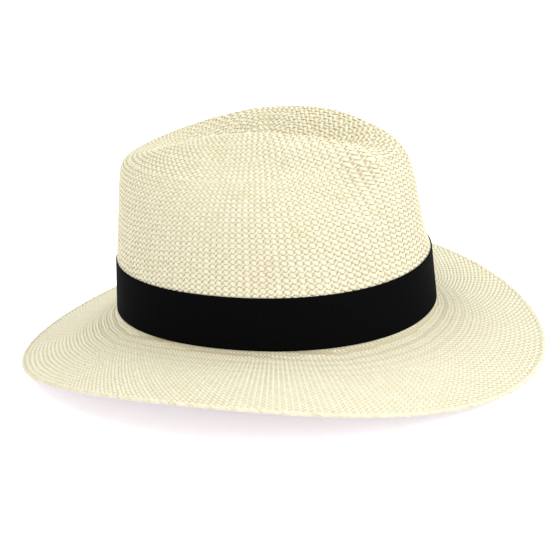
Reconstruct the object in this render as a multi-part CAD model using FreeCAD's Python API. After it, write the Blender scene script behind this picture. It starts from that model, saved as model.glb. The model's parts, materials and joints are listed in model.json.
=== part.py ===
import FreeCAD, Part
import math
import os

os.makedirs("parts", exist_ok=True)

# A woven straw fedora standing on its brim.
# Z is up, the face side is -Y and the wearer's left side, with the bow, is +X.
# Every size is in millimetres and heights are measured from the table.

# ---------------------------------------------------------------- sizes
HEAD_HALF_LENGTH = 103.4      # outside of the crown at the brim, front to back
HEAD_HALF_WIDTH = 86.4        # outside of the crown at the brim, side to side
OVAL_POWER = 2.1              # 2 is an ellipse; a hat oval is a little squarer
BREAK_HEIGHT = 34.8           # where the crown meets the brim
BREAK_TILT = -1.6             # the break line is this much lower at the front
BREAK_SAG = -0.8              # and lower at both ends, higher at the sides, by this much

BAND_WIDTH = 34.6             # height of the hat band
BAND_FOOT = 0.6               # the band starts this far above the break line
BAND_TOP_HALF_LENGTH = 100.6  # outside of the crown at the top of the band
BAND_TOP_HALF_WIDTH = 86.2
BAND_TOP_SHIFT = -1.3         # towards the face side

SHOULDER_HEIGHT = 125.8       # the crown walls are sized at this height
SHOULDER_HALF_LENGTH = 94.3
SHOULDER_HALF_WIDTH = 71.2
SHOULDER_SHIFT = -1.3
WALL_CURVE = 0.85             # 1 is a straight wall above the band, higher leans in nearer the top
WALL_CURVE_CHANGE = 0.24      # the front wall starts to lean lower down than the back
SHOULDER_POWER_FRONT = 8.3    # higher is a crisper shoulder
SHOULDER_POWER_BACK = 32.0
SHOULDER_POWER_SIDE = 4.5

CROWN_HEIGHT = 157.8          # top of the unbashed crown at its middle
CROWN_DROP_SIDE = 24.7        # the arched top is this much lower over the side of the head
CROWN_DROP_FRONT = 24.3
CROWN_DROP_BACK = 21.0
CROWN_DROP_POWER = 1.74       # 2 is a parabola; lower is straighter towards the ends
CROWN_PITCH = 0.102           # the top also slopes down towards the back

DENT_HALF_WIDTH = 33.2        # the crease along the top of the crown
DENT_DEPTH = 24.0
DENT_CENTRE = -12.0
DENT_HALF_LENGTH = 70.0
DENT_NARROWING = 0.18         # the dent is this part narrower at its front end

PINCH_X = 52.0                # the front pinches, one on each side
PINCH_Y = -72.0
PINCH_Z = 135.0
PINCH_REACH = 29.0
PINCH_DEPTH = 15.0
PINCH_INWARD = 0.9            # parts of the pinch that go inward and downward
PINCH_DOWNWARD = 0.35

HOLLOW_X = 52.0               # the long shallow hollows just below the crests
HOLLOW_Y = -18.0
HOLLOW_Z = 139.0
HOLLOW_SPREAD = 17.0
HOLLOW_HALF_LENGTH = 55.0
HOLLOW_DEPTH = 7.0
HOLLOW_DOWNWARD = 0.5         # the hollow also goes down by this part of its depth

BRIM_HALF_LENGTH = 171.9
BRIM_HALF_WIDTH = 148.7
BRIM_EDGE_MEAN = 14.4         # mean height of the edge over the table
BRIM_EDGE_SADDLE = -13.6      # front and back low, sides high
BRIM_EDGE_RIPPLE = 0.7
BRIM_BOW = 0.25               # the brim falls fastest next to the crown
FILLET = 4.0                  # radius where the crown wall turns into the brim

STRAW = 1.2                   # thickness of the woven straw
EDGE_STRAW = 1.9              # the woven-back edge is thicker
EDGE_WIDTH = 4.0
EDGE_FADE = 2.0               # and thins to the brim over this width

RIBBON = 0.55                 # grosgrain thickness
CLEAR = 0.05                  # air left between neighbouring layers

BOW_THETA = math.pi / 2.0     # the bow sits on the wearer's left
BOW_HALF_LENGTH = 37.0
BOW_THICKNESS = 2.2           # two folded layers of ribbon and the air between them
BOW_WAIST = 0.66              # the waist is this part of the ribbon's width
BOW_MARGIN = 0.4              # band showing above and below the bow
BOW_FULL = 0.8                # the bow is full width from this part of its half length outward
BOW_FLAT = 0.03               # the waist runs on this part of the half length past the keeper
TAIL_LENGTH = 47.0
TAIL_FOOT = 0.8
TAIL_BELOW = 0.2              # the tail ends this far below the band's top
KEEPER_LENGTH = 13.0
KEEPER_ROOM = 0.5             # air between the keeper and the bow's waist, above and below
KEEPER_BACK = 0.1
KEEPER_FRONT = 0.15
TACK_LENGTH = 2.4
TACK_FROM_END = 4.0
TACK_FROM_EDGE = 5.0

SWEATBAND_WIDTH = 32.0
SWEATBAND_FOOT = 1.9          # the leather starts this far above the break line
LEATHER = 0.9
TAPE = 0.3
TAPE_FLANGE = 9.0             # height of the tape flap that is sewn to the straw
TAPE_LIP = 4.6                # height of the tape lip that is sewn to the leather
REED_RADIUS = 0.8
REED_HEIGHT = 0.8
REED_CLEAR = 0.02             # air between the reed and its tape
THREAD_RADIUS = 0.2
HAT_STITCHES = 72
HAT_STITCH_HEIGHT = 6.5
HAT_STITCH_REACH = 2.2        # half the length of a stitch
EDGE_STITCHES = 144
EDGE_STITCH_HEIGHT = 3.0
EDGE_STITCH_REACH = 1.7
EDGE_STITCH_RISE = 1.1        # half the height of a zigzag stitch
SEAM_STITCHES = 8
SEAM_STITCH_LOW = 7.0         # height of the lowest one
SEAM_STITCH_SPACING = 2.4
SEAM_STITCH_REACH = 2.5
SEAM_GAP = 0.4                # the ends of a strip stop this far apart
LABEL_LENGTH = 20.0
LABEL_WIDTH = 12.0
LABEL_THICKNESS = 0.2
LABEL_FOOT = 11.0
LABEL_FROM_SEAM = 18.0
SMALL_BOW_LENGTH = 26.0
SMALL_BOW_WIDTH = 6.0
SMALL_BOW_THICKNESS = 1.2
SMALL_BOW_FROM_EDGE = 1.0

AROUND = 96                   # samples round the hat
CROWN_ROWS = 60               # samples from the middle of the top down to the band
TOP_DISC = 3.0                # half size of the small flat disc at the middle of the dent
BAND_ROWS = 10                # samples up the wall behind the band
FILLET_ROWS = 5
BRIM_ROWS = 24
LONG_STRIP = 160              # samples along a strip that goes round the hat, and along short ones
BOW_SAMPLES = 40
SHORT_STRIP = 12
ROUND_SIDES = 12              # facets of the reed
ANGLE_STEP = 0.01             # change of theta used to find which way the wall runs


# ---------------------------------------------------------------- shape of the hat
def oval(half_length, half_width, power, theta):
    """A point of a hat oval; theta is 0 at the front and runs through +X."""
    c = math.cos(theta)
    s = math.sin(theta)
    x = half_width * math.copysign(abs(s) ** (2.0 / power), s)
    y = -half_length * math.copysign(abs(c) ** (2.0 / power), c)
    return x, y


def smooth_step(u):
    u = max(0.0, min(1.0, u))
    return u * u * (3.0 - 2.0 * u)


def break_height(theta):
    return BREAK_HEIGHT + BREAK_TILT * math.cos(theta) + BREAK_SAG * math.cos(2.0 * theta)


def wall(theta, height):
    """Outside of the upright crown wall, height above the break line."""
    x0, y0 = oval(HEAD_HALF_LENGTH, HEAD_HALF_WIDTH, OVAL_POWER, theta)
    x1, y1 = oval(BAND_TOP_HALF_LENGTH, BAND_TOP_HALF_WIDTH, OVAL_POWER, theta)
    y1 += BAND_TOP_SHIFT
    k = height / BAND_WIDTH
    if k <= 1.0:
        return x0 + (x1 - x0) * k, y0 + (y1 - y0) * k
    xs, ys = oval(SHOULDER_HALF_LENGTH, SHOULDER_HALF_WIDTH, OVAL_POWER, theta)
    ys += SHOULDER_SHIFT
    rise = SHOULDER_HEIGHT - break_height(theta) - BAND_WIDTH
    curve = WALL_CURVE - WALL_CURVE_CHANGE * math.cos(theta)
    lean = ((height - BAND_WIDTH) / rise) ** curve
    return x1 + (xs - x1) * lean, y1 + (ys - y1) * lean


def crown_top(x, y):
    """Height of the arched top of the crown over the table, before it is bashed."""
    drop = CROWN_DROP_FRONT if y < 0.0 else CROWN_DROP_BACK
    along = drop * abs(y / HEAD_HALF_LENGTH) ** CROWN_DROP_POWER
    return CROWN_HEIGHT - CROWN_DROP_SIDE * (x / HEAD_HALF_WIDTH) ** 2 - along - CROWN_PITCH * y


def open_crown(theta, t):
    """The crown before it is bashed; t is 0 at the middle of the top and 1 at the band."""
    power = corner_power(theta)
    spread = math.sin(t * math.pi / 2.0) ** (2.0 / power)
    lift = max(0.0, math.cos(t * math.pi / 2.0)) ** (2.0 / power)
    base = break_height(theta) + BAND_WIDTH
    x, y = wall(theta, BAND_WIDTH)
    x *= spread
    y *= spread
    z = base
    for _ in range(3):
        z = base + (crown_top(x, y) - base) * lift
        x, y = wall(theta, max(BAND_WIDTH, z - base + BAND_WIDTH))
        x *= spread
        y *= spread
    return x, y, z


def corner_power(theta):
    c = math.cos(theta)
    corner = SHOULDER_POWER_FRONT if c > 0.0 else SHOULDER_POWER_BACK
    return SHOULDER_POWER_SIDE + (corner - SHOULDER_POWER_SIDE) * c * c


def even_steps(theta):
    """Values of t that space points evenly down the open crown from its middle to the band."""
    power = corner_power(theta)
    fine = []
    for k in range(121):
        w = (k / 120.0) ** (power / 2.0)
        fine.append(2.0 / math.pi * math.asin(w))
        fine.append(2.0 / math.pi * math.acos(w))
    fine.sort()
    points = [open_crown(theta, t) for t in fine]
    travel = [0.0]
    for p, q in zip(points, points[1:]):
        travel.append(travel[-1] + math.dist(p, q))
    steps = []
    k = 0
    for row in range(CROWN_ROWS + 1):
        goal = TOP_DISC + (travel[-1] - TOP_DISC) * row / CROWN_ROWS
        while k < len(fine) - 2 and travel[k + 1] < goal:
            k += 1
        gap = max(1e-9, travel[k + 1] - travel[k])
        steps.append(fine[k] + (fine[k + 1] - fine[k]) * min(1.0, (goal - travel[k]) / gap))
    return steps


def bell(*terms):
    return math.exp(-sum(term * term for term in terms))


def bash(x, y, z):
    """Press the centre dent, the two front pinches and the long hollows into the crown."""
    side = math.copysign(1.0, x)
    along = math.exp(-abs((y - DENT_CENTRE) / DENT_HALF_LENGTH) ** 3)
    width = DENT_HALF_WIDTH * (1.0 - DENT_NARROWING * smooth_step((-y - 20.0) / 70.0))
    u = min(1.0, abs(x) / width)
    on_top = smooth_step((z - SHOULDER_HEIGHT + 10.0) / 30.0)
    drop = DENT_DEPTH * along * (1.0 - u * u) ** 2 * on_top
    pinch = PINCH_DEPTH * bell(
        (abs(x) - PINCH_X) / PINCH_REACH, (y - PINCH_Y) / PINCH_REACH, (z - PINCH_Z) / PINCH_REACH)
    hollow = HOLLOW_DEPTH * bell(
        (abs(x) - HOLLOW_X) / HOLLOW_SPREAD, (y - HOLLOW_Y) / HOLLOW_HALF_LENGTH,
        (z - HOLLOW_Z) / HOLLOW_SPREAD)
    x -= side * (PINCH_INWARD * pinch + hollow)
    z -= drop + PINCH_DOWNWARD * pinch + HOLLOW_DOWNWARD * hollow
    return x, y, z


def brim_edge_height(theta):
    return BRIM_EDGE_MEAN + BRIM_EDGE_SADDLE * math.cos(2.0 * theta) + BRIM_EDGE_RIPPLE * math.cos(4.0 * theta)


def brim_slope(theta):
    """Slope angle of the brim where it leaves the crown."""
    x0, y0 = wall(theta, 0.0)
    x1, y1 = oval(BRIM_HALF_LENGTH, BRIM_HALF_WIDTH, 2.0, theta)
    run = math.hypot(x1 - x0, y1 - y0) - FILLET
    fall = break_height(theta) - FILLET - brim_edge_height(theta)
    return math.atan2(fall * (1.0 + BRIM_BOW), run)


def brim(theta, s):
    """Top of the brim; s below 0 is the fillet at the crown, 0 to 1 runs out to the edge."""
    x0, y0 = wall(theta, 0.0)
    x1, y1 = oval(BRIM_HALF_LENGTH, BRIM_HALF_WIDTH, 2.0, theta)
    reach = math.hypot(x1 - x0, y1 - y0)
    ux = (x1 - x0) / reach
    uy = (y1 - y0) / reach
    turn = math.pi / 2.0 - brim_slope(theta)
    if s < 0.0:
        angle = turn * (1.0 + s)
        out = FILLET * (1.0 - math.cos(angle))
        return x0 + ux * out, y0 + uy * out, break_height(theta) - FILLET * math.sin(angle)
    out0 = FILLET * (1.0 - math.cos(turn))
    z0 = break_height(theta) - FILLET * math.sin(turn)
    out = out0 + (reach - out0) * s
    z = z0 + (brim_edge_height(theta) - z0) * (s + BRIM_BOW * s * (1.0 - s))
    return x0 + ux * out, y0 + uy * out, z


# ---------------------------------------------------------------- surfaces and solids
def vector(point):
    return FreeCAD.Vector(point[0], point[1], point[2])


def around_surface(loops, degree):
    """A surface that closes round the hat through rows of points, one row per loop."""
    count = len(loops)
    poles = [[loops[j][i] for j in range(count)] for i in range(AROUND)]
    u_knots = [k / AROUND for k in range(AROUND + 1)]
    v_knots = [k / (count - degree) for k in range(count - degree + 1)]
    v_mults = [degree + 1] + [1] * (len(v_knots) - 2) + [degree + 1]
    surface = Part.BSplineSurface()
    surface.buildFromPolesMultsKnots(
        poles, [1] * (AROUND + 1), v_mults, u_knots, v_knots, True, False, 3, degree)
    return surface.toShape()


def flat_disc(row):
    """A flat face inside one closed level row of points."""
    curve = Part.BSplineCurve()
    knots = [k / AROUND for k in range(AROUND + 1)]
    curve.buildFromPolesMultsKnots(row, [1] * (AROUND + 1), knots, True, 3)
    return Part.Face(Part.Wire([curve.toShape()]))


def solid_from(faces):
    shell = Part.Shell(faces)
    shell.sewShape()
    solid = Part.Solid(shell)
    if solid.Volume < 0.0:
        solid.reverse()
    return solid


def thetas():
    return [2.0 * math.pi * i / AROUND for i in range(AROUND)]


def normals(loops):
    """Outward normal of every point of a grid of loops."""
    result = []
    last = len(loops) - 1
    for j in range(last + 1):
        row = []
        for i in range(AROUND):
            along = loops[min(last, j + 1)][i] - loops[max(0, j - 1)][i]
            across = loops[j][(i + 1) % AROUND] - loops[j][i - 1]
            if j == 0:
                row.append(FreeCAD.Vector(0, 0, 1))
                continue
            normal = along.cross(across)
            normal.normalize()
            row.append(normal)
        result.append(row)
    return result


def straw_body():
    """Crown and brim in one: an outer and an inner skin joined at the edge."""
    loops = []
    meridians = [[vector(bash(*open_crown(a, t))) for t in even_steps(a)] for a in thetas()]
    for k in range(CROWN_ROWS + 1):
        loops.append([meridian[k] for meridian in meridians])
    level = sum(point.z for point in loops[0]) / AROUND
    for point in loops[0]:
        point.z = level
    for k in range(BAND_ROWS - 1, -1, -1):
        height = BAND_WIDTH * k / BAND_ROWS
        ring = []
        for a in thetas():
            x, y = wall(a, height)
            ring.append(FreeCAD.Vector(x, y, break_height(a) + height))
        loops.append(ring)
    for k in range(1 - FILLET_ROWS, 0):
        loops.append([vector(brim(a, k / FILLET_ROWS)) for a in thetas()])
    for k in range(BRIM_ROWS + 1):
        loops.append([vector(brim(a, k / BRIM_ROWS)) for a in thetas()])
    outward = normals(loops)
    upper = []
    lower = []
    for j, loop in enumerate(loops):
        top_row = []
        low_row = []
        for i, point in enumerate(loop):
            from_edge = (point - loops[-1][i]).Length
            extra = (EDGE_STRAW - STRAW) / 2.0 * (1.0 - smooth_step((from_edge - EDGE_WIDTH) / EDGE_FADE))
            top_row.append(point + outward[j][i] * extra)
            low_row.append(point - outward[j][i] * (STRAW + extra))
        upper.append(top_row)
        lower.append(low_row)
    faces = [around_surface(upper, 3), around_surface(lower, 3), around_surface([upper[-1], lower[-1]], 1)]
    for rows in (upper, lower):
        faces.append(flat_disc(rows[0]))
    return solid_from(faces)


def wall_point(theta, height, offset):
    """A point off the crown wall: offset is outward from the straw's outer face."""
    xa, ya = wall(theta - ANGLE_STEP, height)
    xb, yb = wall(theta + ANGLE_STEP, height)
    length = math.hypot(xb - xa, yb - ya)
    x, y = wall(theta, height)
    return FreeCAD.Vector(
        x - (ya - yb) / length * offset, y + (xa - xb) / length * offset, break_height(theta) + height)


def ring_solid(profile):
    """A band round the crown; profile lists (offset, height) corners in order."""
    loops = [[wall_point(a, height, offset) for a in thetas()] for offset, height in profile]
    faces = []
    for k in range(len(loops)):
        faces.append(around_surface([loops[k], loops[(k + 1) % len(loops)]], 1))
    return solid_from(faces)


def arc_to_angle(theta, length):
    """The change of theta that moves a point of the band by a length along it."""
    xa, ya = wall(theta - ANGLE_STEP / 2.0, BAND_WIDTH / 2.0)
    xb, yb = wall(theta + ANGLE_STEP / 2.0, BAND_WIDTH / 2.0)
    return length * ANGLE_STEP / math.hypot(xb - xa, yb - ya)


def strip_solid(start, end, corners, samples):
    """A strip along the wall; corners(u) gives its four (offset, height) corners, u from 0 to 1."""
    sections = []
    for i in range(samples):
        u = i / (samples - 1.0)
        theta = start + (end - start) * u
        sections.append([wall_point(theta, height, offset) for offset, height in corners(u)])
    u_knots = [k / (samples - 3.0) for k in range(samples - 2)]
    u_mults = [4] + [1] * (samples - 4) + [4]
    faces = []
    for k in range(4):
        poles = [[section[k], section[(k + 1) % 4]] for section in sections]
        side = Part.BSplineSurface()
        side.buildFromPolesMultsKnots(poles, u_mults, [2, 2], u_knots, [0.0, 1.0], False, False, 3, 1)
        faces.append(side.toShape())
    for section in (sections[0], sections[-1]):
        cap = Part.BSplineSurface()
        poles = [[section[0], section[1]], [section[3], section[2]]]
        cap.buildFromPolesMultsKnots(poles, [2, 2], [2, 2], [0.0, 1.0], [0.0, 1.0], False, False, 1, 1)
        faces.append(cap.toShape())
    return solid_from(faces)


def rectangle(inner, thickness, low, high):
    return [(inner, low), (inner + thickness, low), (inner + thickness, high), (inner, high)]


def thread(start, end):
    """One stitch: a short straight run of thread."""
    return Part.makeCylinder(THREAD_RADIUS, (end - start).Length, start, end - start)


# ---------------------------------------------------------------- band and bow
BAND_FACE = CLEAR + RIBBON
TAIL_INNER = BAND_FACE + CLEAR
BOW_INNER = TAIL_INNER + RIBBON + CLEAR
BOW_FACE = BOW_INNER + BOW_THICKNESS


def hatband_ribbon():
    gap = arc_to_angle(BOW_THETA, SEAM_GAP / 2.0)
    corners = rectangle(CLEAR, RIBBON, BAND_FOOT, BAND_WIDTH)
    return strip_solid(BOW_THETA + gap, BOW_THETA + 2.0 * math.pi - gap, lambda u: corners, LONG_STRIP)


def bow_tail():
    """The lower layer of the bow, which reaches out behind it."""
    start = BOW_THETA - arc_to_angle(BOW_THETA, KEEPER_LENGTH / 2.0)
    end = BOW_THETA + arc_to_angle(BOW_THETA, TAIL_LENGTH)
    corners = rectangle(TAIL_INNER, RIBBON, TAIL_FOOT, BAND_WIDTH - TAIL_BELOW)
    return strip_solid(start, end, lambda u: corners, BOW_SAMPLES)


def bow_loops():
    """The folded bow, full width at its ends and gathered to a waist."""
    reach = arc_to_angle(BOW_THETA, BOW_HALF_LENGTH)
    middle = BAND_WIDTH / 2.0
    under_keeper = KEEPER_LENGTH / (2.0 * BOW_HALF_LENGTH) + BOW_FLAT

    def corners(u):
        spread = smooth_step((abs(2.0 * u - 1.0) - under_keeper) / (BOW_FULL - under_keeper))
        half = (middle - BOW_MARGIN) * (BOW_WAIST + (1.0 - BOW_WAIST) * spread)
        return rectangle(BOW_INNER, BOW_THICKNESS, middle - half, middle + half)

    return strip_solid(BOW_THETA - reach, BOW_THETA + reach, corners, BOW_SAMPLES)


def bow_keeper():
    """A short ribbon wrapped over the waist of the bow and tucked in above and below."""
    middle = BAND_WIDTH / 2.0
    half = (middle - BOW_MARGIN) * BOW_WAIST
    inner = BOW_INNER + KEEPER_BACK
    face = BOW_FACE + KEEPER_FRONT
    low = middle - half - KEEPER_ROOM
    high = middle + half + KEEPER_ROOM
    outline = [
        (inner, low - RIBBON), (face + RIBBON, low - RIBBON), (face + RIBBON, high + RIBBON),
        (inner, high + RIBBON), (inner, high), (face, high), (face, low), (inner, low)]
    points = [wall_point(BOW_THETA, height, offset) for offset, height in outline]
    for point in points:
        point.y = wall_point(BOW_THETA, middle, 0.0).y - KEEPER_LENGTH / 2.0
    wire = Part.makePolygon(points + points[:1])
    return Part.Face(wire).extrude(FreeCAD.Vector(0, KEEPER_LENGTH, 0))


def bow_tack_stitches():
    """Four short threads that hold the corners of the bow down."""
    stitches = []
    for side in (-1.0, 1.0):
        theta = BOW_THETA + side * arc_to_angle(BOW_THETA, BOW_HALF_LENGTH - TACK_FROM_END)
        for height in (TACK_FROM_EDGE, BAND_WIDTH - TACK_FROM_EDGE):
            low = wall_point(theta, height - TACK_LENGTH / 2.0, BOW_FACE + THREAD_RADIUS + CLEAR)
            high = wall_point(theta, height + TACK_LENGTH / 2.0, BOW_FACE + THREAD_RADIUS + CLEAR)
            stitches.append(thread(low, high))
    return Part.Compound(stitches)


# ---------------------------------------------------------------- sweatband
# Depths below are measured inward from the straw's inner face.
FLANGE_FACE = CLEAR + TAPE
REED_DEPTH = FLANGE_FACE + REED_CLEAR + REED_RADIUS
LIP_BACK = REED_DEPTH + REED_RADIUS + REED_CLEAR
LIP_FACE = LIP_BACK + TAPE
LEATHER_FACE = LIP_BACK - CLEAR


def inward(depth):
    return -(STRAW + depth)


def round_reed(radius, angle):
    """Depth and height of a point at this distance from the middle of the reed."""
    return REED_DEPTH + radius * math.cos(angle), REED_HEIGHT + radius * math.sin(angle)


def sweatband_reed():
    corners = []
    for k in range(ROUND_SIDES):
        depth, height = round_reed(REED_RADIUS, math.pi - 2.0 * math.pi * k / ROUND_SIDES)
        corners.append((inward(depth), height))
    return ring_solid(corners)


def sweatband_reed_tape():
    """A tape folded round the reed: a tall flap against the straw and a short lip on the leather."""
    outside = []
    inside = []
    away = REED_RADIUS + REED_CLEAR
    bends = 8
    for k in range(bends + 1):
        angle = math.pi + math.pi * k / bends
        outside.append(round_reed(away + TAPE, angle))
        inside.append(round_reed(away, angle))
    outline = [(CLEAR, TAPE_FLANGE)] + outside + [(LIP_FACE, TAPE_LIP), (LIP_BACK, TAPE_LIP)]
    outline += inside[::-1] + [(FLANGE_FACE, TAPE_FLANGE)]
    return ring_solid([(inward(depth), height) for depth, height in outline])


def sweatband_leather():
    gap = arc_to_angle(math.pi, SEAM_GAP / 2.0)
    corners = rectangle(inward(LEATHER_FACE), LEATHER, SWEATBAND_FOOT, SWEATBAND_FOOT + SWEATBAND_WIDTH)
    return strip_solid(math.pi + gap, 3.0 * math.pi - gap, lambda u: corners, LONG_STRIP)


def sweatband_hat_stitches():
    """Running stitches that hold the tape's flap against the straw."""
    depth = inward(FLANGE_FACE + THREAD_RADIUS + CLEAR)
    stitches = []
    for k in range(HAT_STITCHES):
        theta = 2.0 * math.pi * k / HAT_STITCHES
        reach = arc_to_angle(theta, HAT_STITCH_REACH)
        start = wall_point(theta - reach, HAT_STITCH_HEIGHT, depth)
        end = wall_point(theta + reach, HAT_STITCH_HEIGHT, depth)
        stitches.append(thread(start, end))
    return Part.Compound(stitches)


def sweatband_edge_stitches():
    """Zigzag stitches through the tape's lip and the foot of the leather."""
    depth = inward(LIP_FACE + THREAD_RADIUS + CLEAR)
    stitches = []
    for k in range(EDGE_STITCHES):
        theta = 2.0 * math.pi * (k + 0.5) / EDGE_STITCHES
        reach = arc_to_angle(theta, EDGE_STITCH_REACH)
        rise = EDGE_STITCH_RISE if k % 2 else -EDGE_STITCH_RISE
        start = wall_point(theta - reach, EDGE_STITCH_HEIGHT - rise, depth)
        end = wall_point(theta + reach, EDGE_STITCH_HEIGHT + rise, depth)
        stitches.append(thread(start, end))
    return Part.Compound(stitches)


def sweatband_seam_stitches():
    """Stitches across the upright seam at the back of the leather."""
    depth = inward(LEATHER_FACE + THREAD_RADIUS + CLEAR)
    reach = arc_to_angle(math.pi, SEAM_STITCH_REACH)
    stitches = []
    for k in range(SEAM_STITCHES):
        height = SEAM_STITCH_LOW + SEAM_STITCH_SPACING * k
        start = wall_point(math.pi - reach, height, depth)
        end = wall_point(math.pi + reach, height, depth)
        stitches.append(thread(start, end))
    return Part.Compound(stitches)


def sweatband_bow():
    """The small bow that marks the back of the sweatband."""
    reach = arc_to_angle(math.pi, SMALL_BOW_LENGTH / 2.0)
    high = SWEATBAND_FOOT + SWEATBAND_WIDTH - SMALL_BOW_FROM_EDGE
    inner = inward(LEATHER_FACE + CLEAR + SMALL_BOW_THICKNESS)
    corners = rectangle(inner, SMALL_BOW_THICKNESS, high - SMALL_BOW_WIDTH, high)
    return strip_solid(math.pi - reach, math.pi + reach, lambda u: corners, SHORT_STRIP)


def size_label():
    """A small blank label on the sweatband, left of the back seam."""
    start = math.pi - arc_to_angle(math.pi, LABEL_FROM_SEAM + LABEL_LENGTH)
    end = math.pi - arc_to_angle(math.pi, LABEL_FROM_SEAM)
    inner = inward(LEATHER_FACE + CLEAR + LABEL_THICKNESS)
    corners = rectangle(inner, LABEL_THICKNESS, LABEL_FOOT, LABEL_FOOT + LABEL_WIDTH)
    return strip_solid(start, end, lambda u: corners, SHORT_STRIP)


# ---------------------------------------------------------------- build
def export(shape, name):
    shape.exportStep("parts/" + name + ".step")
    print(name, "valid", shape.isValid(), "solids", len(shape.Solids), "volume", round(shape.Volume, 1))


PIECES = (
    straw_body, hatband_ribbon, bow_tail, bow_loops, bow_keeper, bow_tack_stitches,
    sweatband_leather, sweatband_reed, sweatband_reed_tape, sweatband_hat_stitches,
    sweatband_edge_stitches, sweatband_seam_stitches, sweatband_bow, size_label)

if __name__ == "__main__":
    for make_piece in PIECES:
        export(make_piece(), make_piece.__name__)
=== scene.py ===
"""The looks of a woven straw hat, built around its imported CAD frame. Everything is in metres."""

import json
import math
from collections import namedtuple

import bpy
import numpy as np
from mathutils import Matrix, Vector
from mathutils.bvhtree import BVHTree


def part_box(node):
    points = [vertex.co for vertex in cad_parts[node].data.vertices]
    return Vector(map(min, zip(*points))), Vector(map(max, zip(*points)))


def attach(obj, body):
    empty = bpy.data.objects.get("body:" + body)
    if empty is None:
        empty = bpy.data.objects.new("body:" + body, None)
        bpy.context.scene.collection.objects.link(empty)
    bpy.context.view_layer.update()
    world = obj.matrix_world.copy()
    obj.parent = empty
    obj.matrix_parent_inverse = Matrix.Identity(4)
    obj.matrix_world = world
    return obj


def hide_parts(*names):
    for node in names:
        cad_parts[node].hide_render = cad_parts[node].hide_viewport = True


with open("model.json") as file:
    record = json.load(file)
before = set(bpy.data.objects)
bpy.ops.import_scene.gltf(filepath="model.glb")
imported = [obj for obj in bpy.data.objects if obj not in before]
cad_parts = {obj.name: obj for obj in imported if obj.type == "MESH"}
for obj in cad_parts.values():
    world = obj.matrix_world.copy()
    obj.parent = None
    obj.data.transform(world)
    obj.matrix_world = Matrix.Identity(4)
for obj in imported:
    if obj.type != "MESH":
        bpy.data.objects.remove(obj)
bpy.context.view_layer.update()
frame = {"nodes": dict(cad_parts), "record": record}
random = np.random.default_rng(20)
MM = 0.001

# ---------------------------------------------------------------- sizes
BREAK_Z = frame["record"]["mounts"][0]["pos_m"][2]    # where the crown meets the brim
CENTRE = Vector((0.0, 0.0, BREAK_Z + 30.0 * MM))      # a point inside the crown that sees all of it

RAY = 0.3                      # level rays start or end this far out, clear of the brim
COLUMNS = 480                  # meridians read off the CAD straw
TOP_ROWS = 80                  # rows of surface points on the top of the crown
WALL_ROWS = 100                # on its wall
CROWN_ROWS = TOP_ROWS + WALL_ROWS
BRIM_ROWS = 90                 # and on the brim
SHOULDER_Z = BREAK_Z + 92.0 * MM      # where the top turns down into the wall
DENSER_BACK = 0.14             # the weave is this much closer at the back than on average
DENSEST = math.radians(205.0)
STRAW = 1.2 * MM               # thickness of the CAD straw

# The two parts of the weave. aspect is the height of a cell over its width, wave how far a strand rises
# and dips, spread how much the strands differ in tone, and pale their mean tone.
Weave = namedtuple("Weave", "aspect wave spread pale")
CROWN = Weave(aspect=0.72, wave=0.36 * MM, spread=0.62, pale=0.46)
# The brim is the same straw as the crown; its paler mean tone is painted light for its brighter, upward
# face.
BRIM = Weave(aspect=0.80, wave=0.24 * MM, spread=0.50, pale=0.68)

CROWN_STRANDS = 124            # strands of each family round the crown
BRIM_STRANDS = 248
SMALLEST_CELL = 3.75 * MM      # where the crown's cells get this narrow, a zone of fewer strands begins
FEWER = 1.22                   # each zone has this many times fewer strands than the one below it
FEWEST = 14                    # a zone with no more strands than this is the last
ZONE_GAP = 0.6 * MM            # between one zone's strands and the next
CROWN_END = 12.0 * MM          # the crown's strands end at this height over the break, under the band
BRIM_BEGIN = 16.0 * MM         # and the brim's begin at this one
BRIM_MARGIN = 0.5 * MM         # from the ends of the brim's strands to the rim
STRAND = 0.26 * MM             # half thickness of one strand
FULL_PITCH = 2.4 * MM          # strands that lie closer together than this are thinner
WIDE = 0.50                    # half width of a wide strand, in strand pitches
NARROW = 0.29
WANDER = 0.045                 # how far a strand strays sideways, in strand pitches
UNEVEN_WAVE = 0.16             # how much its waves differ in height
UNEVEN_WIDTH = 0.05            # and its width from place to place
FLATTENED = 1.5                # how flat the strands are pressed where they cross; 0 is a plain wave
TUCK = 0.35 * MM               # how deep a strand's ends dive
TUCK_WAVES = 0.3               # over this much of a wave
RING_SPACING = 5.5 * MM        # open rings in the brim next to the crown, where strands were added
RING_REACH = 0.95 * MM         # how far an open ring reaches to each side of its middle
RINGS = 6
STEPS = 8                      # samples along a strand for one full wave

OUTSIDE = True                 # the face of an upright strip that is read or laid on
INSIDE = False
BOW = math.pi / 2.0            # azimuth of the bow, which covers the band's seam
BACK = math.pi                 # azimuth of the sweatband's seam
SEAM = 0.002                   # radians kept clear at each side of a seam
WIDEST_SEAM = 0.06             # radians in which the sides of a seam are looked for
RIM = 0.15 * MM                # a laid strip ends this far short of the edges of its CAD solid
LEATHER = 0.8 * MM             # thickness of the sweatband,
TAPE = 0.28 * MM               # of the tape round the reed,
LABEL = 0.15 * MM              # of the size label
RIBBON = 0.5 * MM              # and of the grosgrain
RIB = 2.15 * MM                # spacing of its ribs
RIB_LEAN = 0.16                # the ribs lean by this much sideways for each unit of height
RIB_HEIGHT = 0.07 * MM
SELVEDGE = 0.9 * MM            # plain edge of the ribbon
BAND_FACE = 0.60 * MM          # the band's face over the outer face of the straw
BAND_FOOT = 0.60 * MM          # the band's lower edge over the break line


# ---------------------------------------------------------------- reading the straw's surface
def tree_of(node):
    """The faces of a CAD node, for rays to meet."""
    mesh = frame["nodes"][node].data
    points = [v.co for v in mesh.vertices]
    return BVHTree.FromPolygons(points, [p.vertices[:] for p in mesh.polygons])


straw_tree = tree_of("straw_body")


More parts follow.
